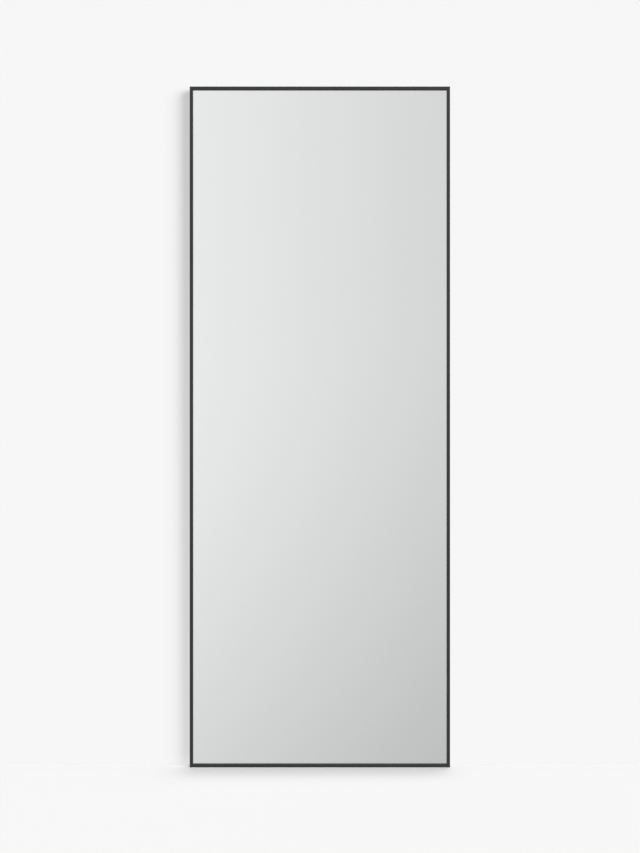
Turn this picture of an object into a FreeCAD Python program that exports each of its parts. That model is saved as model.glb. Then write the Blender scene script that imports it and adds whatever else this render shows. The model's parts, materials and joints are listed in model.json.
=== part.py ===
import FreeCAD, Part
import Sketcher
import os
from collections import namedtuple

# A full-length mirror in a slim mitred frame of extruded aluminium.
# +Z is up, the mirror faces -Y and the origin is under the middle of the bounding box.
# Sizes are in millimetres.
# "Inward" is measured from a side's outer face and "depth" from the front of the frame.

SIZES = {
    # the frame and its section
    "frame_width": 650.0,
    "frame_height": 1700.0,
    "lip_width": 8.0,
    "lip_depth": 5.0,
    "lip_wall": 1.3,
    "outer_wall": 1.5,
    "edge_round": 0.4,
    "web_thick": 1.3,
    "channel_width": 16.0,
    "channel_depth": 4.2,
    "channel_wall": 1.5,
    "slot_mouth": 8.0,
    "slot_lip": 1.5,
    # what lies in the rebate
    "glass_thick": 4.0,
    "glass_arris": 0.5,
    "glass_clearance": 1.0,
    "film_thick": 0.3,
    "board_thick": 3.0,
    "block_long": 80.0,
    "block_inset": 130.0,
    "clip_rise": 2.7,
    "clip_long": 46.0,
    "clip_flat": 14.0,
    "clip_wide": 20.0,
    "clip_thick": 0.7,
    "clip_gap": 1.0,
    "clip_end_inset": 190.0,
    # the corner joints
    "key_leg": 62.0,
    "key_thick": 2.4,
    "key_clearance": 0.2,
    "key_chamfer": 3.0,
    "shim_thick": 1.0,
    "key_screw_inset": 40.0,
    "key_screw_radius": 2.5,
    "key_screw_sunk": 0.4,
    "key_socket_width": 2.5,
    "key_socket_deep": 2.2,
    "thread_clearance": 0.05,
    # the hangers
    "hanger_drop": 330.0,
    "strap_width": 12.0,
    "strap_thick": 1.5,
    "strap_long": 52.0,
    "strap_shoulder": 5.0,
    "strap_neck": 2.0,
    "strap_hole_radius": 2.2,
    "strap_first_hole": 28.0,
    "strap_hole_pitch": 15.0,
    "eye_width": 8.4,
    "eye_raise": 0.6,
    "eye_clearance": 0.1,
    "curl_gap": 0.6,
    "wire_radius": 1.5,
    "ring_bend": 2.5,
    "ring_side_gap": 0.5,
    "ring_straight": 11.0,
    "ring_split": 0.4,
    "nut_bar_long": 36.0,
    "nut_bar_thick": 2.6,
    "bolt_radius": 2.0,
    "bolt_past_nut": 0.4,
    "bolt_head_radius": 3.8,
    "bolt_head_tall": 2.4,
    "bolt_head_bevel": 1.0,
    "bolt_socket_width": 2.5,
    "bolt_socket_deep": 1.5,
    # the wall pads
    "pad_proud": 8.0,
    "pad_wide": 16.0,
    "pad_long": 40.0,
    "pad_bevel": 1.5,
    "pad_stem_gap": 0.2,
    "pad_barb_wide": 10.8,
    "pad_barb_deep": 3.4,
    "pad_tip_wide": 6.0,
    "pad_end_inset": 110.0,
}

# Depths, from the front of the frame to the back.
GLASS_BACK = "(Sizes.lip_depth + Sizes.glass_thick)"
FILM_BACK = f"({GLASS_BACK} + Sizes.film_thick)"
BOARD_BACK = f"({FILM_BACK} + Sizes.board_thick)"
WEB_FRONT = f"({BOARD_BACK} + Sizes.clip_rise)"
WEB_BACK = f"({WEB_FRONT} + Sizes.web_thick)"
SLOT_FRONT = f"({WEB_BACK} + Sizes.channel_depth)"
FRAME_BACK = f"({SLOT_FRONT} + Sizes.slot_lip)"
FRONT_Y = f"(-({FRAME_BACK} + Sizes.pad_proud) / 2)"

# Places across a side, from its outer face inward.
CHANNEL_INNER = "(Sizes.outer_wall + Sizes.channel_width)"
REAR_WIDTH = f"({CHANNEL_INNER} + Sizes.channel_wall)"
SLOT_CENTRE = "(Sizes.outer_wall + Sizes.channel_width / 2)"
GLASS_INSET = "(Sizes.outer_wall + Sizes.glass_clearance)"

# The eye that a hanging ring turns in, from the back of the frame.
EYE_BORE = "(Sizes.wire_radius + Sizes.eye_clearance)"
EYE_OUTER = f"({EYE_BORE} + Sizes.strap_thick)"
EYE_BEHIND = f"(Sizes.eye_raise + {EYE_OUTER})"

# The sides in turn from the bottom left corner. Each starts at a corner and is turned about Y,
# so that it runs along its own +Z and has its inward direction along its own +X.
Side = namedtuple("Side", "name corner turn start_x start_z length")
HALF_WIDTH = "Sizes.frame_width / 2"
SIDES = [
    Side("left_stile", "bottom_left", 0, f"-{HALF_WIDTH}", "0", "Sizes.frame_height"),
    Side("top_rail", "top_left", 90, f"-{HALF_WIDTH}", "Sizes.frame_height", "Sizes.frame_width"),
    Side("right_stile", "top_right", 180, HALF_WIDTH, "Sizes.frame_height", "Sizes.frame_height"),
    Side("bottom_rail", "bottom_right", 270, HALF_WIDTH, "0", "Sizes.frame_width"),
]
STILE_CLIPS = 4
RAIL_CLIPS = 2

# A length below this counts as nothing.
HAIR = 1e-6

# The straight steps that stand for a quarter bend and for the half round end of a hanging ring.
BEND_STEPS = 3
END_STEPS = 8

doc = FreeCAD.newDocument("floor_mirror")
sheet = doc.addObject("Spreadsheet::Sheet", "Sizes")
for row, (alias, size) in enumerate(SIZES.items(), start=1):
    sheet.set(f"A{row}", alias)
    sheet.set(f"B{row}", str(size))
    sheet.setAlias(f"B{row}", alias)
doc.recompute()

subparts = []


def value(expression):
    """The number that an expression over the sheet gives now."""
    return float(sheet.evalExpression(expression))


def bind(piece, expressions):
    """Binds a piece's properties to expressions over the sheet."""
    for name, expression in expressions.items():
        piece.setExpression(name, expression)


def new_body(name):
    """An empty body, listed as a sub-part."""
    body = doc.addObject("PartDesign::Body", name)
    body.Label = name
    subparts.append(body)
    return body


def new_sketch(body, name, plane, lift="0"):
    """A sketch on one of the body's own origin planes, raised along the plane's normal."""
    sketch = body.newObject("Sketcher::SketchObject", name)
    origin_plane = next(each for each in body.Origin.OriginFeatures if each.Role == plane)
    sketch.AttachmentSupport = [(origin_plane, "")]
    sketch.MapMode = "FlatFace"
    sketch.setExpression("AttachmentOffset.Base.z", lift)
    return sketch


def pin_point(sketch, geometry, point, place, axes="XY"):
    """Holds one point of a sketch at its distances from the origin."""
    for axis, expression in zip("XY", place):
        if axis in axes:
            rule = Sketcher.Constraint("Distance" + axis, -1, 1, geometry, point, value(expression))
            number = sketch.addConstraint(rule)
            sketch.setExpression(f"Constraints[{number}]", expression)


def draw_path(sketch, points, arcs=None, closed=True):
    """Draws lines from point to point. arcs maps a line's number to an arc's centre and its turn, 1 or -1."""
    arcs = arcs or {}
    first = sketch.GeometryCount
    spots = [FreeCAD.Vector(value(x), value(y), 0) for x, y in points]
    count = len(points) if closed else len(points) - 1
    ends = []
    for number in range(count):
        start = spots[number]
        end = spots[(number + 1) % len(spots)]
        if number in arcs:
            centre_place, turn = arcs[number]
            centre = FreeCAD.Vector(*[value(each) for each in centre_place], 0)
            low, high = (start, end) if turn > 0 else (end, start)
            circle = Part.Circle(centre, FreeCAD.Vector(0, 0, 1), (start - centre).Length)
            sketch.addGeometry(Part.ArcOfCircle(circle, circle.parameter(low), circle.parameter(high)), False)
            ends.append((1, 2) if turn > 0 else (2, 1))
        else:
            sketch.addGeometry(Part.LineSegment(start, end), False)
            ends.append((1, 2))
    for number in range(count):
        pin_point(sketch, first + number, ends[number][0], points[number])
        if number in arcs:
            chord = spots[(number + 1) % len(spots)] - spots[number]
            free_axis = "Y" if abs(chord.x) > abs(chord.y) else "X"
            pin_point(sketch, first + number, 3, arcs[number][0], free_axis)
        if closed or number < count - 1:
            following = (number + 1) % count
            rule = ("Coincident", first + number, ends[number][1], first + following, ends[following][0])
            sketch.addConstraint(Sketcher.Constraint(*rule))
    if not closed:
        pin_point(sketch, first + count - 1, ends[-1][1], points[-1])


def draw_box(sketch, left, bottom, right, top):
    """Draws a rectangle between two corners."""
    draw_path(sketch, [(left, bottom), (right, bottom), (right, top), (left, top)])


def draw_circle(sketch, place, radius):
    """Draws a circle round a place."""
    centre = FreeCAD.Vector(value(place[0]), value(place[1]), 0)
    number = sketch.addGeometry(Part.Circle(centre, FreeCAD.Vector(0, 0, 1), value(radius)), False)
    pin_point(sketch, number, 3, place)
    rule = sketch.addConstraint(Sketcher.Constraint("Radius", number, value(radius)))
    sketch.setExpression(f"Constraints[{rule}]", radius)


def draw_hexagon(sketch, flats):
    """Draws a hexagon round the origin, with its flats this far apart."""
    corner = f"({flats} / 2 / cos(30))"
    steps = [(f"{corner} * cos({60 * step})", f"{corner} * sin({60 * step})") for step in range(6)]
    draw_path(sketch, steps)


def add_pad(body, name, sketch, length, both_ways=False, reverse=False):
    """Extrudes a sketch."""
    pad = body.newObject("PartDesign::Pad", name)
    pad.Profile = sketch
    pad.SideType = "Symmetric" if both_ways else "One side"
    pad.Reversed = reverse
    pad.setExpression("Length", length)
    doc.recompute()
    return pad


def add_pocket(body, name, sketch, length=None, reverse=False):
    """Cuts a sketch out of the body, right through it both ways where no length is given."""
    before = body.Shape.Volume
    pocket = body.newObject("PartDesign::Pocket", name)
    pocket.Profile = sketch
    pocket.Reversed = reverse
    if length is None:
        pocket.Type = "ThroughAll"
        pocket.SideType = "Symmetric"
    else:
        pocket.setExpression("Length", length)
    doc.recompute()
    if not body.Shape.Volume < before:
        raise ValueError(f"{body.Label}: {name} removes nothing")
    return pocket


def edge_names(feature, chosen):
    """The names of a feature's edges for which chosen is true."""
    return [f"Edge{number}" for number, edge in enumerate(feature.Shape.Edges, start=1) if chosen(edge)]


def add_chamfer(body, name, base, chosen, size):
    """Bevels the edges of the base for which chosen is true."""
    chamfer = body.newObject("PartDesign::Chamfer", name)
    chamfer.Base = (base, edge_names(base, chosen))
    chamfer.setExpression("Size", size)
    doc.recompute()


def place_on_side(piece, side, along="0", inward="0", depth="0"):
    """Turns a piece to a side of the frame and sets it this far along, inward and deep."""
    piece.Placement.Rotation = FreeCAD.Rotation(FreeCAD.Vector(0, 1, 0), side.turn)
    bind(piece, {
        "Placement.Base.x": f"{side.start_x} + sin({side.turn}) * ({along}) + cos({side.turn}) * ({inward})",
        "Placement.Base.y": f"{FRONT_Y} + {depth}",
        "Placement.Base.z": f"{side.start_z} + cos({side.turn}) * ({along}) - sin({side.turn}) * ({inward})",
    })


def frame_member(side):
    """A mitred side of the frame: a hollow lip over the glass, a rebate, and a slotted channel."""

    def is_front_edge(edge):
        return edge.BoundBox.YMax < HAIR and edge.BoundBox.ZLength > edge.BoundBox.XLength

    name, length = side.name, side.length
    mouth_near = f"({SLOT_CENTRE} - Sizes.slot_mouth / 2)"
    mouth_far = f"({SLOT_CENTRE} + Sizes.slot_mouth / 2)"
    body = new_body(name)
    section = new_sketch(body, name + "_section", "XY_Plane")
    draw_path(section, [
        ("0", "0"),
        ("Sizes.lip_width", "0"),
        ("Sizes.lip_width", "Sizes.lip_depth"),
        ("Sizes.outer_wall", "Sizes.lip_depth"),
        ("Sizes.outer_wall", WEB_FRONT),
        (REAR_WIDTH, WEB_FRONT),
        (REAR_WIDTH, FRAME_BACK),
        (mouth_far, FRAME_BACK),
        (mouth_far, SLOT_FRONT),
        (CHANNEL_INNER, SLOT_FRONT),
        (CHANNEL_INNER, WEB_BACK),
        ("Sizes.outer_wall", WEB_BACK),
        ("Sizes.outer_wall", SLOT_FRONT),
        (mouth_near, SLOT_FRONT),
        (mouth_near, FRAME_BACK),
        ("0", FRAME_BACK),
    ])
    draw_box(section, "Sizes.outer_wall", "Sizes.lip_wall",
             "Sizes.lip_width - Sizes.lip_wall", "Sizes.lip_depth - Sizes.lip_wall")
    bar = add_pad(body, name + "_bar", section, length)
    arris = body.newObject("PartDesign::Fillet", name + "_arris")
    arris.Base = (bar, edge_names(bar, is_front_edge))
    arris.setExpression("Radius", "Sizes.edge_round")
    doc.recompute()
    reach = f"(2 * {REAR_WIDTH})"
    mitres = new_sketch(body, name + "_mitres", "XZ_Plane")
    draw_path(mitres, [("0", "0"), (reach, "0"), (reach, reach)])
    draw_path(mitres, [("0", length), (reach, f"{length} - {reach}"), (reach, length)])
    add_pocket(body, name + "_mitre_cut", mitres)
    place_on_side(body, side)


def corner_plate(name, side, thick, back, holed):
    """An L-shaped plate that lies in the channels of the two sides that meet at a corner."""
    near = "(Sizes.outer_wall + Sizes.key_clearance)"
    far = f"({CHANNEL_INNER} - Sizes.key_clearance)"
    bevel = f"({near} + Sizes.key_chamfer)"
    body = new_body(name)
    outline = new_sketch(body, name + "_outline", "XZ_Plane")
    draw_path(outline, [
        (bevel, near),
        ("Sizes.key_leg", near),
        ("Sizes.key_leg", far),
        (far, far),
        (far, "Sizes.key_leg"),
        (near, "Sizes.key_leg"),
        (near, bevel),
    ])
    add_pad(body, name + "_plate", outline, thick)
    if holed:
        holes = new_sketch(body, name + "_holes", "XZ_Plane")
        hole = "Sizes.key_screw_radius + Sizes.thread_clearance"
        draw_circle(holes, ("Sizes.key_screw_inset", SLOT_CENTRE), hole)
        draw_circle(holes, (SLOT_CENTRE, "Sizes.key_screw_inset"), hole)
        add_pocket(body, name + "_tapping", holes)
    place_on_side(body, side, depth=back)


def turned_piece(name, points):
    """A round piece about its own Y axis, from its half section of radius and depth."""
    body = new_body(name)
    half = new_sketch(body, name + "_half_section", "XY_Plane")
    draw_path(half, points)
    turned = body.newObject("PartDesign::Revolution", name + "_turned")
    turned.Profile = half
    turned.ReferenceAxis = (half, ["V_Axis"])
    turned.Angle = 360
    doc.recompute()
    return body


def cut_socket(body, flats, deep, top):
    """Sinks a hexagon socket into the end of a screw that faces the back."""
    socket = new_sketch(body, body.Label + "_hexagon", "XZ_Plane", f"-({top})")
    draw_hexagon(socket, flats)
    add_pocket(body, body.Label + "_socket", socket, deep, reverse=True)


def corner_screw(name, side, along, inward):
    """A set screw through the tapped key, which it clamps to the slot's lips by pressing on the shim."""
    long = f"({FRAME_BACK} - Sizes.key_screw_sunk - {WEB_BACK} - Sizes.shim_thick)"
    body = turned_piece(name, [
        ("0", "0"),
        ("Sizes.key_screw_radius", "0"),
        ("Sizes.key_screw_radius", long),
        ("0", long),
    ])
    cut_socket(body, "Sizes.key_socket_width", "Sizes.key_socket_deep", long)
    place_on_side(body, side, along, inward, f"{WEB_BACK} + Sizes.shim_thick")


def lies_level(edge):
    """Whether an edge lies in a plane parallel to the glass."""
    return edge.BoundBox.YLength < HAIR


def glass_sheet():
    """The silvered glass, its edges ground to a small arris."""
    body = new_body("silvered_glass")
    outline = new_sketch(body, "glass_outline", "XZ_Plane")
    draw_box(outline, f"{GLASS_INSET} - Sizes.frame_width / 2", GLASS_INSET,
             f"Sizes.frame_width / 2 - {GLASS_INSET}", f"Sizes.frame_height - {GLASS_INSET}")
    slab = add_pad(body, "glass_slab", outline, "Sizes.glass_thick", reverse=True)
    add_chamfer(body, "glass_ground_edge", slab, lies_level, "Sizes.glass_arris")
    bind(body, {"Placement.Base.y": f"{FRONT_Y} + Sizes.lip_depth"})


def flat_sheet(name, front, thick):
    """A sheet behind the glass, with the glass's own outline."""
    panel = doc.addObject("Part::Box", name)
    panel.Label = name
    subparts.append(panel)
    bind(panel, {
        "Length": f"Sizes.frame_width - 2 * {GLASS_INSET}",
        "Width": thick,
        "Height": f"Sizes.frame_height - 2 * {GLASS_INSET}",
        "Placement.Base.x": f"{GLASS_INSET} - Sizes.frame_width / 2",
        "Placement.Base.y": f"{FRONT_Y} + {front}",
        "Placement.Base.z": GLASS_INSET,
    })


def setting_block(name, side_sign):
    """A rubber block on the bottom rail that carries the glass and the board by their edges."""
    block = doc.addObject("Part::Box", name)
    block.Label = name
    subparts.append(block)
    middle = f"{side_sign} * (Sizes.frame_width / 2 - Sizes.block_inset)"
    bind(block, {
        "Length": "Sizes.block_long",
        "Width": f"{BOARD_BACK} - Sizes.lip_depth",
        "Height": "Sizes.glass_clearance",
        "Placement.Base.x": f"{middle} - Sizes.block_long / 2",
        "Placement.Base.y": f"{FRONT_Y} + Sizes.lip_depth",
        "Placement.Base.z": "Sizes.outer_wall",
    })


def spring_clip(name, side, along):
    """A bent steel strip that bridges between board and channel and presses the glass forward."""
    half = "(Sizes.clip_long / 2)"
    half_flat = "(Sizes.clip_flat / 2)"
    rise = "(Sizes.clip_rise - Sizes.clip_thick)"
    body = new_body(name)
    bridge = new_sketch(body, name + "_bridge", "YZ_Plane")
    draw_path(bridge, [
        ("0", f"-{half}"),
        (rise, f"-{half_flat}"),
        (rise, half_flat),
        ("0", half),
        ("Sizes.clip_thick", half),
        ("Sizes.clip_rise", half_flat),
        ("Sizes.clip_rise", f"-{half_flat}"),
        ("Sizes.clip_thick", f"-{half}"),
    ])
    add_pad(body, name + "_strip", bridge, "Sizes.clip_wide")
    place_on_side(body, side, along, "Sizes.outer_wall + Sizes.clip_gap", BOARD_BACK)


def place_hanger_piece(piece, side_sign, behind, below="0"):
    """Sets a hanger's piece on a stile's slot, this far behind the frame and below the eye."""
    bind(piece, {
        "Placement.Base.x": f"{side_sign} * (Sizes.frame_width / 2 - {SLOT_CENTRE})",
        "Placement.Base.y": f"{FRONT_Y} + {FRAME_BACK} + {behind}",
        "Placement.Base.z": f"Sizes.frame_height - Sizes.hanger_drop - ({below})",
    })


def hanger_strap(name, side_sign):
    """A steel strap whose upper end is raised a little and curled into an eye for the ring."""
    body = new_body(name)
    curl = new_sketch(body, name + "_curl", "YZ_Plane")
    draw_circle(curl, (EYE_BEHIND, "0"), EYE_OUTER)
    add_pad(body, name + "_barrel", curl, "Sizes.eye_width", both_ways=True)
    bore = new_sketch(body, name + "_bore", "YZ_Plane")
    draw_circle(bore, (EYE_BEHIND, "0"), EYE_BORE)
    add_pocket(body, name + "_bored", bore)
    opening = new_sketch(body, name + "_curl_end", "YZ_Plane")
    draw_box(opening, "0", f"-2 * {EYE_OUTER}", f"{EYE_BEHIND} - Sizes.curl_gap", "0")
    add_pocket(body, name + "_curl_open", opening)
    neck = new_sketch(body, name + "_neck", "YZ_Plane")
    draw_path(neck, [
        ("Sizes.eye_raise", "0"),
        ("Sizes.eye_raise", "-Sizes.strap_neck"),
        ("0", "-Sizes.strap_shoulder"),
        ("Sizes.strap_thick", "-Sizes.strap_shoulder"),
        ("Sizes.eye_raise + Sizes.strap_thick", "-Sizes.strap_neck"),
        ("Sizes.eye_raise + Sizes.strap_thick", "0"),
    ])
    add_pad(body, name + "_tongue", neck, "Sizes.eye_width", both_ways=True)
    flat = new_sketch(body, name + "_flat", "XZ_Plane")
    half = "(Sizes.strap_width / 2)"
    round_top = f"-(Sizes.strap_long - {half})"
    draw_path(
        flat,
        [
            (f"-{half}", "-Sizes.strap_shoulder"),
            (f"-{half}", round_top),
            (half, round_top),
            (half, "-Sizes.strap_shoulder"),
        ],
        arcs={1: (("0", round_top), 1)},
    )
    add_pad(body, name + "_plate", flat, "Sizes.strap_thick", reverse=True)
    holes = new_sketch(body, name + "_holes", "XZ_Plane")
    for number in range(2):
        drop = f"-(Sizes.strap_first_hole + {number} * Sizes.strap_hole_pitch)"
        draw_circle(holes, ("0", drop), "Sizes.strap_hole_radius")
    add_pocket(body, name + "_drilled", holes)
    place_hanger_piece(body, side_sign, "0")


def bend_points(centre, radius, start, turn, steps):
    """The places that divide a bend of this turn, in degrees, into equal steps, its ends among them."""
    points = []
    for step in range(steps + 1):
        angle = start + turn * step / steps
        points.append((f"{centre[0]} + {radius} * cos({angle})", f"{centre[1]} + {radius} * sin({angle})"))
    return points


def hanging_ring(name, side_sign):
    """A D-shaped wire ring. Its straight side turns in the strap's eye, where the wire's ends meet."""
    straight = "(Sizes.eye_width / 2 + Sizes.ring_side_gap)"
    split = "(Sizes.ring_split / 2)"
    left_bend = (f"-{straight}", "-Sizes.ring_bend")
    right_bend = (straight, "-Sizes.ring_bend")
    end_centre = ("0", "-Sizes.ring_straight")
    end_radius = f"({straight} + Sizes.ring_bend)"
    body = new_body(name)
    spine = new_sketch(body, name + "_spine", "XZ_Plane")
    line = [(f"-{split}", "0")]
    line += bend_points(left_bend, "Sizes.ring_bend", 90, 90, BEND_STEPS)
    line += bend_points(end_centre, end_radius, 180, 180, END_STEPS)
    line += bend_points(right_bend, "Sizes.ring_bend", 0, 90, BEND_STEPS)
    line += [(split, "0")]
    draw_path(spine, line, closed=False)
    wire = new_sketch(body, name + "_wire", "YZ_Plane", f"-{split}")
    draw_circle(wire, ("0", "0"), "Sizes.wire_radius")
    ring = body.newObject("PartDesign::AdditivePipe", name + "_pipe")
    ring.Profile = wire
    ring.Spine = spine
    ring.Transition = "Right corner"
    doc.recompute()
    place_hanger_piece(body, side_sign, EYE_BEHIND)


def nut_bar(name, side_sign):
    """A tapped bar inside a stile's channel, which the hanger's bolts pull against the slot's lips."""
    middle = "(Sizes.strap_first_hole + Sizes.strap_hole_pitch / 2)"
    wide = "(Sizes.channel_width / 2 - Sizes.key_clearance)"
    body = new_body(name)
    outline = new_sketch(body, name + "_outline", "XZ_Plane")
    draw_box(outline, f"-{wide}", "-Sizes.nut_bar_long / 2", wide, "Sizes.nut_bar_long / 2")
    add_pad(body, name + "_bar", outline, "Sizes.nut_bar_thick")
    holes = new_sketch(body, name + "_holes", "XZ_Plane")
    for sign in ("", "-"):
        place = ("0", f"{sign}Sizes.strap_hole_pitch / 2")
        draw_circle(holes, place, "Sizes.bolt_radius + Sizes.thread_clearance")
    add_pocket(body, name + "_tapped", holes)
    place_hanger_piece(body, side_sign, "-Sizes.slot_lip", middle)


def hanger_bolt(name, side_sign, number):
    """A bolt with a bevelled head, through the strap and the slot into the nut bar."""
    tip = "-(Sizes.strap_thick + Sizes.slot_lip + Sizes.nut_bar_thick + Sizes.bolt_past_nut)"
    body = turned_piece(name, [
        ("0", tip),
        ("Sizes.bolt_radius", tip),
        ("Sizes.bolt_radius", "0"),
        ("Sizes.bolt_head_radius", "0"),
        ("Sizes.bolt_head_radius", "Sizes.bolt_head_tall - Sizes.bolt_head_bevel"),
        ("Sizes.bolt_head_radius - Sizes.bolt_head_bevel", "Sizes.bolt_head_tall"),
        ("0", "Sizes.bolt_head_tall"),
    ])
    cut_socket(body, "Sizes.bolt_socket_width", "Sizes.bolt_socket_deep", "Sizes.bolt_head_tall")
    drop = f"Sizes.strap_first_hole + {number} * Sizes.strap_hole_pitch"
    place_hanger_piece(body, side_sign, "Sizes.strap_thick", drop)


def wall_pad(name, side, along):
    """A rubber buffer block behind a stile, held by a barbed foot pushed through the slot."""
    proud = value("Sizes.pad_proud")

    def is_rim(edge):
        return edge.BoundBox.YMin > proud - HAIR

    half = "(Sizes.pad_wide / 2)"
    stem = "(Sizes.slot_mouth / 2 - Sizes.pad_stem_gap)"
    barb = "(Sizes.pad_barb_wide / 2)"
    half_tip = "(Sizes.pad_tip_wide / 2)"
    tip = "-(Sizes.slot_lip + Sizes.pad_barb_deep)"
    body = new_body(name)
    section = new_sketch(body, name + "_section", "XY_Plane")
    draw_path(section, [
        (f"-{half_tip}", tip),
        (half_tip, tip),
        (barb, "-Sizes.slot_lip"),
        (stem, "-Sizes.slot_lip"),
        (stem, "0"),
        (half, "0"),
        (half, "Sizes.pad_proud"),
        (f"-{half}", "Sizes.pad_proud"),
        (f"-{half}", "0"),
        (f"-{stem}", "0"),
        (f"-{stem}", "-Sizes.slot_lip"),
        (f"-{barb}", "-Sizes.slot_lip"),
    ])
    block = add_pad(body, name + "_block", section, "Sizes.pad_long", both_ways=True)
    add_chamfer(body, name + "_bevel", block, is_rim, "Sizes.pad_bevel")
    place_on_side(body, side, along, SLOT_CENTRE, FRAME_BACK)


def build_frame():
    """The four mitred sides and, at each corner, a shim, a tapped key and two set screws."""
    for side in SIDES:
        frame_member(side)
    for side in SIDES:
        shim_back = f"{WEB_BACK} + Sizes.shim_thick"
        corner_plate(f"{side.corner}_corner_shim", side, "Sizes.shim_thick", shim_back, holed=False)
        corner_plate(f"{side.corner}_corner_key", side, "Sizes.key_thick", SLOT_FRONT, holed=True)
        leg, other_leg = ("stile", "rail") if side.name.endswith("stile") else ("rail", "stile")
        corner_screw(f"{side.corner}_{leg}_screw", side, "Sizes.key_screw_inset", SLOT_CENTRE)
        corner_screw(f"{side.corner}_{other_leg}_screw", side, SLOT_CENTRE, "Sizes.key_screw_inset")


def build_glazing():
    """The glass, its film and board, the blocks that they stand on and the clips behind them."""
    glass_sheet()
    flat_sheet("safety_film", GLASS_BACK, "Sizes.film_thick")
    flat_sheet("backing_board", FILM_BACK, "Sizes.board_thick")
    setting_block("left_setting_block", "-1")
    setting_block("right_setting_block", "1")
    for side in SIDES:
        count = STILE_CLIPS if side.name.endswith("stile") else RAIL_CLIPS
        step = f"({side.length} - 2 * Sizes.clip_end_inset) / {count - 1}"
        for number in range(count):
            spring_clip(f"{side.name}_clip_{number + 1}", side, f"(Sizes.clip_end_inset + {number} * {step})")


def build_hangers():
    """On each stile, a nut bar, a strap with its two bolts, and a ring that turns in the strap's eye."""
    for hand, sign in (("left", "-1"), ("right", "1")):
        nut_bar(f"{hand}_nut_bar", sign)
        hanger_strap(f"{hand}_hanger_strap", sign)
        for number in range(2):
            hanger_bolt(f"{hand}_hanger_bolt_{number + 1}", sign, number)
        hanging_ring(f"{hand}_hanging_ring", sign)


def build_pads():
    """A wall pad near each end of each stile."""
    far_end = "(Sizes.frame_height - Sizes.pad_end_inset)"
    wall_pad("bottom_left_wall_pad", SIDES[0], "Sizes.pad_end_inset")
    wall_pad("top_left_wall_pad", SIDES[0], far_end)
    wall_pad("top_right_wall_pad", SIDES[2], "Sizes.pad_end_inset")
    wall_pad("bottom_right_wall_pad", SIDES[2], far_end)


build_frame()
build_glazing()
build_hangers()
build_pads()
doc.recompute()

for item in doc.Objects:
    if "Invalid" in item.State or "Error" in item.State:
        raise ValueError(f"{item.Label}: {item.State}")
for piece in subparts:
    if piece.Shape.isNull() or not piece.Shape.isValid() or len(piece.Shape.Solids) != 1:
        raise ValueError(f"{piece.Label}: the shape is not one valid solid")

os.makedirs("parts", exist_ok=True)
for piece in subparts:
    piece.Shape.exportStep(f"parts/{piece.Label}.step")
print(f"{len(subparts)} sub-parts written")
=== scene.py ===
import json
import math

import bpy
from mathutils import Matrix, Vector


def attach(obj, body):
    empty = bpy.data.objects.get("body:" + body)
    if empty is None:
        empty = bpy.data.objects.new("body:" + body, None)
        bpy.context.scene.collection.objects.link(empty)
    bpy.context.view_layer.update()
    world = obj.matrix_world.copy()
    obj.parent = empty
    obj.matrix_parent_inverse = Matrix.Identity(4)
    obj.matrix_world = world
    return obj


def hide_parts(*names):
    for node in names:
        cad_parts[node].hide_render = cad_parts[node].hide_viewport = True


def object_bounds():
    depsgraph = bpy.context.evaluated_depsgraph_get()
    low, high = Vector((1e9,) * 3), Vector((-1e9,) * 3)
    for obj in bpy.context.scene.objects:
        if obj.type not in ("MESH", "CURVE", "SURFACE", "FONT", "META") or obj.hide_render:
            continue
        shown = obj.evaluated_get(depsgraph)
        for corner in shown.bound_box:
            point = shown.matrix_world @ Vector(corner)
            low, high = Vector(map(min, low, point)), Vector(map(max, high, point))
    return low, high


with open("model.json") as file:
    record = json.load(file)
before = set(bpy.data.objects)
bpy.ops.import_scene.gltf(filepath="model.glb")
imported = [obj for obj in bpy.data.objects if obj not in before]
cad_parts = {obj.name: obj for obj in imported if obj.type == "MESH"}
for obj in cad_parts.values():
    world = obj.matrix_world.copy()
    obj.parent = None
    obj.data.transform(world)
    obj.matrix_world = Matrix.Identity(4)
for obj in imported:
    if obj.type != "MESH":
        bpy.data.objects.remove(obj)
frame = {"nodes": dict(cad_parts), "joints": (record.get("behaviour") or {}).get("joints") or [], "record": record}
cad_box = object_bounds()
scene = bpy.context.scene
nodes = frame["nodes"]
HALF_WIDE, HALF_HIGH = cad_box[1][0], cad_box[1][2] / 2

# ---------------------------------------------------------------- small helpers for shader trees


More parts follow.
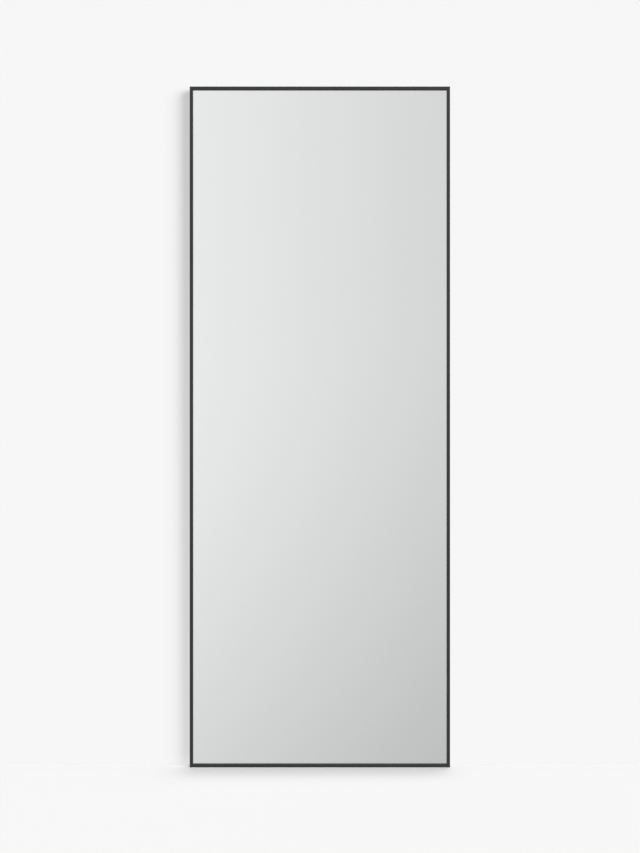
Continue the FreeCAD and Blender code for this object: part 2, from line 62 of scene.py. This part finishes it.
class Tree:
    """A shader tree with short calls for its nodes."""

    def __init__(self, owner):
        owner.use_nodes = True
        self.tree = owner.node_tree
        self.tree.nodes.clear()

    def add(self, kind, inputs=None, **settings):
        node = self.tree.nodes.new(kind)
        for name, setting in settings.items():
            setattr(node, name, setting)
        for socket, given in (inputs or {}).items():
            self.feed(node.inputs[socket], given)
        return node

    def feed(self, socket, given):
        if isinstance(given, bpy.types.NodeSocket):
            self.tree.links.new(given, socket)
        else:
            socket.default_value = given

    def math(self, operation, first, second=0.0):
        return self.add("ShaderNodeMath", {0: first, 1: second}, operation=operation).outputs[0]

    def times(self, first, second):
        return self.math("MULTIPLY", first, second)

    def plus(self, first, second):
        return self.math("ADD", first, second)

    def minus(self, first, second):
        return self.math("SUBTRACT", first, second)

    def size(self, given):
        return self.math("ABSOLUTE", given)

    def remap(self, given, low, high, out_low=0.0, out_high=1.0, kind="LINEAR"):
        sockets = {"Value": given, "From Min": low, "From Max": high, "To Min": out_low, "To Max": out_high}
        node = self.add("ShaderNodeMapRange", sockets, interpolation_type=kind, clamp=True)
        return node.outputs["Result"]

    def fade(self, share, first, second):
        """One number into another: first where share is 0, second where it is 1."""
        return self.plus(self.times(first, self.minus(1.0, share)), self.times(second, share))

    def blend(self, share, first, second):
        """One colour into another."""
        node = self.add("ShaderNodeMix", data_type="RGBA", blend_type="MIX")
        for socket, given in ((0, share), (6, first), (7, second)):
            self.feed(node.inputs[socket], given)
        return node.outputs[2]

    def place(self, scale=(1, 1, 1), turn=(0, 0, 0)):
        where = self.add("ShaderNodeTexCoord").outputs["Object"]
        return self.add("ShaderNodeMapping", {"Vector": where, "Scale": scale, "Rotation": turn}).outputs[0]

    def parts(self, where):
        """A vector's x, y and z."""
        return self.add("ShaderNodeSeparateXYZ", {0: where}).outputs

    def noise(self, where, scale, detail=3.0, rough=0.5):
        sockets = {"Vector": where, "Scale": scale, "Detail": detail, "Roughness": rough}
        return self.add("ShaderNodeTexNoise", sockets).outputs["Fac"]

    def bump(self, height, depth, strength=1.0, below=None):
        sockets = {"Height": height, "Distance": depth, "Strength": strength}
        if below is not None:
            sockets["Normal"] = below
        return self.add("ShaderNodeBump", sockets).outputs["Normal"]

    def surface(self, colour, rough, normal=None, **fixed):
        """Ends the tree in one shader, whose uniform values are set on its own sockets."""
        node = self.add("ShaderNodeBsdfPrincipled", {"Base Color": colour, "Roughness": rough})
        if normal is not None:
            self.feed(node.inputs["Normal"], normal)
        for name, setting in fixed.items():
            node.inputs[name.replace("_", " ")].default_value = setting
        self.add("ShaderNodeOutputMaterial", {"Surface": node.outputs[0]})


def material(name):
    made = bpy.data.materials.new(name)
    return made, Tree(made)


def grey(level, warm=0.0):
    return (level * (1 + warm), level, level * (1 - warm), 1.0)


def from_edges(t, at):
    """How far a point lies inside the mirror's outer side, and inside its outer top or bottom."""
    x, _, z = t.parts(at)
    return t.minus(HALF_WIDE, t.size(x)), t.minus(HALF_HIGH, t.size(t.minus(z, HALF_HIGH)))


# ---------------------------------------------------------------- materials


def powder_coat():
    """Fine matte black powder coat: tight orange peel, rare scuffs, and a hairline seam at each mitre."""
    made, t = material("matte_black_powder_coat")
    at = t.place()
    from_side, from_end = from_edges(t, at)
    seam_core, seam_edge = 0.00004, 0.00016
    seam = t.remap(t.size(t.minus(from_side, from_end)), seam_core, seam_edge, 1.0, 0.0, "SMOOTHSTEP")
    peel = t.noise(at, 620.0, 1.0, 0.4)
    grain = t.noise(at, 3200.0, 2.0, 0.6)
    cloud = t.noise(at, 9.0, 4.0, 0.6)
    scuff = t.remap(t.noise(t.place((1, 1, 0.12)), 140.0, 5.0, 0.7), 0.66, 0.78)
    colour = t.blend(t.remap(cloud, 0.3, 0.7), grey(0.017), grey(0.023, -0.02))
    colour = t.blend(t.times(scuff, 0.35), colour, grey(0.050))
    colour = t.blend(t.times(seam, 0.85), colour, grey(0.003))
    rough = t.plus(t.remap(grain, 0.3, 0.7, 0.56, 0.66), t.times(scuff, -0.06))
    rough = t.plus(rough, t.times(seam, 0.25))
    normal = t.bump(peel, 0.00016, 0.8)
    normal = t.bump(grain, 0.00003, 0.5, normal)
    normal = t.bump(t.minus(1.0, seam), 0.00012, 0.8, normal)
    t.surface(colour, rough, normal, Specular_IOR_Level=0.32)
    return made


def mirror():
    """Silvered glass: neutral with a faint green, and painted shade from the frame's lip: a band just inside it is
    drawn a little darker and greener.
    """
    made, t = material("silvered_mirror")
    at = t.place()
    # painted shade: the glass is drawn darker and greener from the frame lip's inner edge to 10 mm further in
    shade_full_at, shade_gone_at = 0.007, 0.017
    lip_shade = t.remap(t.math("MINIMUM", *from_edges(t, at)), shade_full_at, shade_gone_at, 1.0, 0.0, "SMOOTHSTEP")
    haze = t.noise(at, 6.0, 4.0, 0.6)
    colour = t.blend(t.remap(haze, 0.3, 0.7), (0.905, 0.925, 0.916, 1), (0.912, 0.930, 0.922, 1))
    # painted shade next to the frame's lip: darker, greener glass
    colour = t.blend(t.times(lip_shade, 0.4), colour, (0.80, 0.86, 0.83, 1))
    smear = t.noise(t.place((1, 1, 0.35)), 22.0, 5.0, 0.65)
    rough = t.remap(smear, 0.45, 0.8, 0.004, 0.022)
    t.surface(colour, rough, Metallic=1.0)
    return made


def zinc():
    """Bright zinc plate with the rolling lines of the strip under it and a few dull spots."""
    made, t = material("zinc_plate")
    lines = t.noise(t.place((1, 1, 0.04)), 1400.0, 3.0, 0.6)
    blotch = t.noise(t.place(), 160.0, 4.0, 0.6)
    dull = t.remap(t.noise(t.place(), 420.0, 3.0, 0.6), 0.62, 0.74)
    colour = t.blend(t.remap(blotch, 0.35, 0.65), (0.66, 0.68, 0.71, 1), (0.74, 0.74, 0.72, 1))
    colour = t.blend(t.times(dull, 0.4), colour, (0.48, 0.48, 0.47, 1))
    rough = t.plus(t.remap(lines, 0.3, 0.7, 0.24, 0.36), t.times(dull, 0.15))
    t.surface(colour, rough, t.bump(lines, 0.00002, 0.4), Metallic=1.0)
    return made


def spring_steel():
    """Blued spring strip: dark blue grey with straw traces and a fine grain."""
    made, t = material("blued_spring_steel")
    grain = t.noise(t.place(), 1800.0, 2.0, 0.5)
    tint = t.noise(t.place(), 60.0, 3.0, 0.5)
    colour = t.blend(t.remap(tint, 0.35, 0.65), (0.20, 0.24, 0.32, 1), (0.34, 0.33, 0.32, 1))
    rough = t.remap(grain, 0.3, 0.7, 0.26, 0.38)
    t.surface(colour, rough, t.bump(grain, 0.00002, 0.4), Metallic=1.0)
    return made


def black_oxide():
    """Black oxide on screws: near black with brown traces, a satin gleam, worn bright in specks."""
    made, t = material("black_oxide")
    tint = t.noise(t.place(), 380.0, 4.0, 0.6)
    worn = t.remap(t.noise(t.place(), 1500.0, 3.0, 0.6), 0.68, 0.76)
    colour = t.blend(t.remap(tint, 0.35, 0.65), (0.055, 0.055, 0.060, 1), (0.085, 0.075, 0.068, 1))
    colour = t.blend(t.times(worn, 0.6), colour, grey(0.32))
    rough = t.remap(tint, 0.3, 0.7, 0.30, 0.42)
    t.surface(colour, rough, t.bump(tint, 0.00003, 0.3), Metallic=0.85)
    return made


def rubber():
    """Matte black rubber with a fine moulded grain and a pale bloom in patches."""
    made, t = material("black_rubber")
    grain = t.noise(t.place(), 2600.0, 3.0, 0.6)
    bloom = t.remap(t.noise(t.place(), 130.0, 4.0, 0.6), 0.45, 0.75, 0.0, 0.5)
    colour = t.blend(bloom, grey(0.028), grey(0.060, 0.03))
    rough = t.remap(grain, 0.3, 0.7, 0.68, 0.84)
    t.surface(colour, rough, t.bump(grain, 0.00004, 0.6), Specular_IOR_Level=0.35)
    return made


def fibreboard():
    """Hardboard: pressed brown fibres in many tones, long pale shreds and dark specks."""
    made, t = material("hardboard")
    at = t.place()
    felt = t.noise(at, 520.0, 6.0, 0.7)
    cloud = t.noise(at, 5.0, 4.0, 0.55)
    turned = t.place((1, 1, 0.16), (0, math.radians(28), 0))
    crossed = t.place((1, 1, 0.16), (0, math.radians(-47), 0))
    shreds = t.math("MAXIMUM", t.noise(turned, 420.0, 3.0, 0.6), t.noise(crossed, 360.0, 3.0, 0.6))
    pale = t.remap(shreds, 0.66, 0.76)
    dark = t.remap(t.noise(at, 900.0, 3.0, 0.6), 0.62, 0.75)
    colour = t.blend(t.remap(cloud, 0.3, 0.7), (0.252, 0.152, 0.086, 1), (0.288, 0.179, 0.104, 1))
    colour = t.blend(t.remap(felt, 0.35, 0.65, 0.0, 0.55), colour, (0.17, 0.098, 0.052, 1))
    colour = t.blend(t.times(pale, 0.5), colour, (0.43, 0.31, 0.20, 1))
    colour = t.blend(t.times(dark, 0.6), colour, (0.075, 0.045, 0.028, 1))
    rough = t.remap(felt, 0.3, 0.7, 0.50, 0.72)
    normal = t.bump(felt, 0.00005, 0.5)
    normal = t.bump(shreds, 0.00006, 0.35, normal)
    t.surface(colour, rough, normal, Specular_IOR_Level=0.35)
    return made


def woven_film():
    """Adhesive safety film: a satin pale film over a fine woven scrim."""
    made, t = material("woven_safety_film")
    x, _, z = t.parts(t.place())
    pitch = 0.0016
    warp = t.math("SINE", t.times(x, 2 * math.pi / pitch))
    weft = t.math("SINE", t.times(z, 2 * math.pi / pitch))
    weave = t.remap(t.math("MAXIMUM", warp, weft), 0.6, 1.0)
    colour = t.blend(t.times(weave, 0.5), (0.74, 0.76, 0.78, 1), (0.86, 0.87, 0.88, 1))
    rough = t.remap(t.noise(t.place(), 300.0), 0.3, 0.7, 0.35, 0.5)
    t.surface(colour, rough, t.bump(weave, 0.00006, 0.5))
    return made


FINISHES = {
    "black_frame": powder_coat(),
    "mirror_glass": mirror(),
    "backing_film": woven_film(),
    "fibreboard": fibreboard(),
    "black_rubber": rubber(),
    "spring_steel": spring_steel(),
    "zinc_steel": zinc(),
    "dark_screw": black_oxide(),
}
slot_of = {part["node"]: part["material_slot"] for part in frame["record"]["subparts"]}
for name, piece in nodes.items():
    piece.data.materials.clear()
    piece.data.materials.append(FINISHES[slot_of[name]])


# The width of the small round on each kind of piece's edges, in metres.
EDGE_BREAKS = {"wall_pad": 0.0009, "setting_block": 0.0002, "corner_key": 0.00025, "nut_bar": 0.0003,
               "clip": 0.00015, "hanger_strap": 0.0003, "hanger_bolt": 0.0003}


def modifier(piece, kind, **settings):
    made = piece.modifiers.new(kind.lower(), kind)
    for name, setting in settings.items():
        setattr(made, name, setting)


def soften(piece, width):
    """Breaks a solid's sharp edges by a small round, as tumbling, moulding or coating leaves them."""
    modifier(piece, "WELD", merge_threshold=1e-6)
    modifier(piece, "DECIMATE", decimate_type="DISSOLVE", angle_limit=math.radians(0.5))
    modifier(piece, "BEVEL", limit_method="ANGLE", angle_limit=math.radians(35), width=width, segments=2)
    modifier(piece, "WEIGHTED_NORMAL", weight=100, keep_sharp=True)


for name, piece in nodes.items():
    unnumbered = name.rstrip("_1234")
    for ending, width in EDGE_BREAKS.items():
        if unnumbered.endswith(ending):
            soften(piece, width)

# ---------------------------------------------------------------- the rings' smooth bent wire

WIRE = 0.0015            # the wire's radius
BEND = 0.0025            # the radius of the wire's middle line in the two upper bends
HALF_STRAIGHT = 0.0047   # from the ring's middle to where an upper bend starts
DROP = 0.011             # from the eye's axis down to the middle of the round end
SPLIT = 0.0002           # half the gap between the wire's two ends
AROUND = 24              # corners round the wire
BEND_STEPS = 10          # straight runs along an upper bend
END_STEPS = 36           # straight runs along the round end


def mesh_piece(name, corners, faces):
    mesh = bpy.data.meshes.new(name)
    mesh.from_pydata([tuple(corner) for corner in corners], [], faces)
    mesh.validate()
    piece = bpy.data.objects.new(name, mesh)
    scene.collection.objects.link(piece)
    return piece


def ring_line(eye):
    """The wire's middle line, round from one butt end in the eye to the other."""
    def bend(cx, cz, radius, start, turn, steps):
        angles = [math.radians(start + turn * step / steps) for step in range(steps + 1)]
        return [(cx + radius * math.cos(a), cz + radius * math.sin(a)) for a in angles]

    flat = [(-SPLIT, 0.0)]
    flat += bend(-HALF_STRAIGHT, -BEND, BEND, 90, 90, BEND_STEPS)
    flat += bend(0.0, -DROP, HALF_STRAIGHT + BEND, 180, 180, END_STEPS)
    flat += bend(HALF_STRAIGHT, -BEND, BEND, 0, 90, BEND_STEPS)
    flat += [(SPLIT, 0.0)]
    return [eye + Vector((x, 0.0, z)) for x, z in flat]


def bent_wire(name, line, radius):
    """A round wire along a line that lies in an upright plane across the width, with flat ends."""
    depth = Vector((0, 1, 0))
    rows, verts, faces = [], [], []
    last = len(line) - 1
    for number, point in enumerate(line):
        before, after = line[max(number - 1, 0)], line[min(number + 1, last)]
        side = (after - before).normalized().cross(depth)
        row = []
        for step in range(AROUND):
            angle = 2 * math.pi * step / AROUND
            row.append(len(verts))
            verts.append(point + radius * (math.cos(angle) * side + math.sin(angle) * depth))
        rows.append(row)
    for near, far in zip(rows, rows[1:]):
        for step in range(AROUND):
            following = (step + 1) % AROUND
            faces.append((near[step], near[following], far[following], far[step]))
    faces.append(tuple(rows[0][::-1]))
    faces.append(tuple(rows[-1]))
    piece = mesh_piece(name, verts, faces)
    for face in piece.data.polygons:
        face.use_smooth = len(face.vertices) == 4
    return piece


for joint in frame["joints"]:
    hand = joint["name"].split("_")[0]
    wire = bent_wire(hand + "_ring_wire", ring_line(Vector(joint["pos_m"])), WIRE)
    wire.data.materials.append(FINISHES["zinc_steel"])
    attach(wire, joint["child"])
    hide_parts(hand + "_hanging_ring")

# ---------------------------------------------------------------- light

# Shares of full light, at which a matt colour shows as written. The first four reach the mirror.
KEY_SHARE = 0.70      # the key light, on a face that looks to the front
FILL_SHARE = 0.30     # all round from the front
BACK_SHARE = 0.85     # all round from behind
FROM_ABOVE = 0.75     # how much stronger the light all round is straight from above than from the side
SIDE_SHARE = 8.0      # the light that draws the shadow on the wall
TOP_SHARE = 5.0       # the light that draws the shadow in front
SLANT_SHARE = 1.5     # the light that widens that shadow to the left
TO_FRONT, TO_TOP = Vector((0, -1, 0)), Vector((0, 0, 1))
towards_key = Vector((0.90, -1.0, 0.67)).normalized()
towards_side = Vector((1.065, -1.0, 0.36)).normalized()
towards_top = Vector((0.0227, 0.0764, 1.70)).normalized()
towards_slant = Vector((0.137, 0.0272, 1.70)).normalized()


def sun(name, towards, looking, share, spread, only_on=()):
    """A distant soft light from that direction, with that spread in degrees.

    It gives share of full light to a face that looks along looking. Where only_on names pieces, it falls on
    them alone."""
    lamp = bpy.data.lights.new(name, "SUN")
    lamp.energy = share * math.pi / towards.dot(looking)
    lamp.angle = math.radians(spread)
    holder = bpy.data.objects.new(name, lamp)
    holder.rotation_mode = "QUATERNION"
    holder.rotation_quaternion = towards.to_track_quat("Z", "Y")
    scene.collection.objects.link(holder)
    if only_on:
        lit = bpy.data.collections.new(name + "_falls_on")
        for piece in only_on:
            lit.objects.link(piece)
        holder.light_linking.receiver_collection = lit


# The pale gradient in front that the glass reflects, over a direction's parts to the right and to the top.
FRONT_TONE = 0.808                   # the tone straight ahead, where nothing is taken off
SIDE_GAIN, SIDE_END = 0.128, 0.12    # lighter by SIDE_GAIN at SIDE_END to the left, darker by it to the right
RISE = 0.30                          # how steeply the lines of one darkness rise to the right
DARK_FROM, DARK_TO = 0.069, -0.267   # the heights between which it darkens
DARK_CURVE = 1.6                     # above 1, so it darkens slowly at first
DARK_LOSS = 0.239                    # the share of the tone that is lost at DARK_TO


def studio_world(shown):
    """Soft light all round. The camera sees the tone shown. Glass and metal reflect a pale gradient: in front
    lighter at the upper left, behind lighter towards the top."""
    world = bpy.data.worlds.new("studio")
    scene.world = world
    w = Tree(world)
    ray = w.add("ShaderNodeLightPath").outputs
    to_right, to_back, to_top = w.parts(w.add("ShaderNodeTexCoord").outputs["Generated"])
    behind = w.remap(to_back, -0.15, 0.15, kind="SMOOTHSTEP")

    across = w.remap(to_right, -SIDE_END, SIDE_END, SIDE_GAIN, -SIDE_GAIN)
    across = w.plus(across, w.remap(to_right, -0.9, 0.9, 1.04, 0.96))
    dark = w.remap(w.minus(to_top, w.times(to_right, RISE)), DARK_FROM, DARK_TO)
    dark = w.math("POWER", dark, DARK_CURVE)
    dark = w.plus(dark, w.remap(to_top, -0.25, -0.75, 0.0, 0.9, "SMOOTHSTEP"))
    front = w.times(w.times(across, FRONT_TONE), w.minus(1.0, w.times(dark, DARK_LOSS)))
    back = w.remap(to_top, -0.5, 0.7, 0.35, 1.05, "SMOOTHSTEP")
    reflected = w.fade(behind, front, back)

    fill = w.remap(behind, 0.0, 1.0, FILL_SHARE, BACK_SHARE)
    fill = w.times(fill, w.remap(to_top, -1.0, 1.0, 1 - FROM_ABOVE, 1 + FROM_ABOVE))
    tone = w.fade(ray["Is Glossy Ray"], fill, reflected)
    tone = w.fade(w.math("MAXIMUM", ray["Is Camera Ray"], ray["Is Transmission Ray"]), tone, shown)
    sky = w.add("ShaderNodeBackground", {"Color": grey(1.0), "Strength": tone})
    w.add("ShaderNodeOutputWorld", {"Surface": sky.outputs[0]})


# ---------------------------------------------------------------- stage: a pale wall behind and a pale floor

PALE = 0.929       # the backdrop's tone
FAR = 30.0         # how far wall and floor reach
WALL_Y = 0.0152    # just behind the wall pads' faces
FOOT = 0.035       # the height over which the wall's shadow fades to the floor's


def pale_stage(name, lit_low, lit_high, lit_by, foot=1.0):
    """A pale matt surface of one even tone that holds soft shadows.

    A share of the tone comes from the light that falls on the surface, which is lit_by in all, and the rest
    is steady. The share is lit_low near the floor and lit_high at the mirror's top. Right at the floor it is
    foot times lit_low. The surface shows on its front side only, and only to the camera."""
    made, t = material(name)
    to_camera = t.add("ShaderNodeLightPath").outputs["Is Camera Ray"]
    seen = t.times(to_camera, t.minus(1.0, t.add("ShaderNodeNewGeometry").outputs["Backfacing"]))
    height = t.parts(t.place())[2]
    lit = t.remap(height, 0.0, 2 * HALF_HIGH, lit_low, lit_high)
    lit = t.times(lit, t.remap(height, 0.0, FOOT, foot, 1.0, "SMOOTHSTEP"))
    steady = t.remap(t.noise(t.place(), 2.0, 2.0), 0.0, 1.0, 0.999 * PALE, 1.001 * PALE)
    matt = t.add("ShaderNodeBsdfDiffuse", {"Color": t.times(lit, PALE / lit_by)})
    glow = t.add("ShaderNodeEmission", {"Color": grey(1.0), "Strength": t.times(steady, t.minus(1.0, lit))})
    both = t.add("ShaderNodeAddShader", {0: matt.outputs[0], 1: glow.outputs[0]})
    clear = t.add("ShaderNodeBsdfTransparent")
    end = t.add("ShaderNodeMixShader", {0: seen, 1: clear.outputs[0], 2: both.outputs[0]})
    t.add("ShaderNodeOutputMaterial", {"Surface": end.outputs[0]})
    return made


def sheet(name, corners, finish):
    """One flat piece of the stage."""
    piece = mesh_piece(name, corners, [(0, 1, 2, 3)])
    piece.data.materials.append(finish)
    return piece


# All the light that falls on the wall, and on the floor: the lamps, and the light all round.
wall_light = SIDE_SHARE + KEY_SHARE + FILL_SHARE
floor_light = TOP_SHARE + SLANT_SHARE
floor_light += (FILL_SHARE + BACK_SHARE) / 2 * (1 + FROM_ABOVE * 2 / 3)
floor_light += KEY_SHARE * towards_key.z / -towards_key.y
floor_light += SIDE_SHARE * towards_side.z / -towards_side.y
wall = sheet("backdrop_wall", [(-FAR, WALL_Y, 0), (FAR, WALL_Y, 0), (FAR, WALL_Y, FAR), (-FAR, WALL_Y, FAR)],
             pale_stage("pale_wall", lit_low=0.264, lit_high=0.392, lit_by=wall_light, foot=0.74))
floor = sheet("backdrop_floor", [(-FAR, -FAR, 0), (FAR, -FAR, 0), (FAR, FAR, 0), (-FAR, FAR, 0)],
              pale_stage("pale_floor", lit_low=0.55, lit_high=0.55, lit_by=floor_light))

sun("key_softbox", towards_key, TO_FRONT, KEY_SHARE, spread=36)
sun("side_softbox", towards_side, TO_FRONT, SIDE_SHARE, spread=41, only_on=(wall, floor))
sun("overhead_softbox", towards_top, TO_TOP, TOP_SHARE, spread=4.25, only_on=(floor,))
sun("slanting_softbox", towards_slant, TO_TOP, SLANT_SHARE, spread=14.5, only_on=(floor,))
studio_world(PALE)

# ---------------------------------------------------------------- camera and picture settings

cam_data = bpy.data.cameras.new("camera")
cam_data.sensor_width = 36.0
cam_data.lens = 59.1
cam_data.clip_end = 200.0
camera = bpy.data.objects.new("camera", cam_data)
camera.location = (0.0003, -3.511, 0.8511)
camera.rotation_euler = (math.radians(90), 0, 0)
scene.collection.objects.link(camera)
scene.camera = camera
scene.view_settings.view_transform = "Standard"
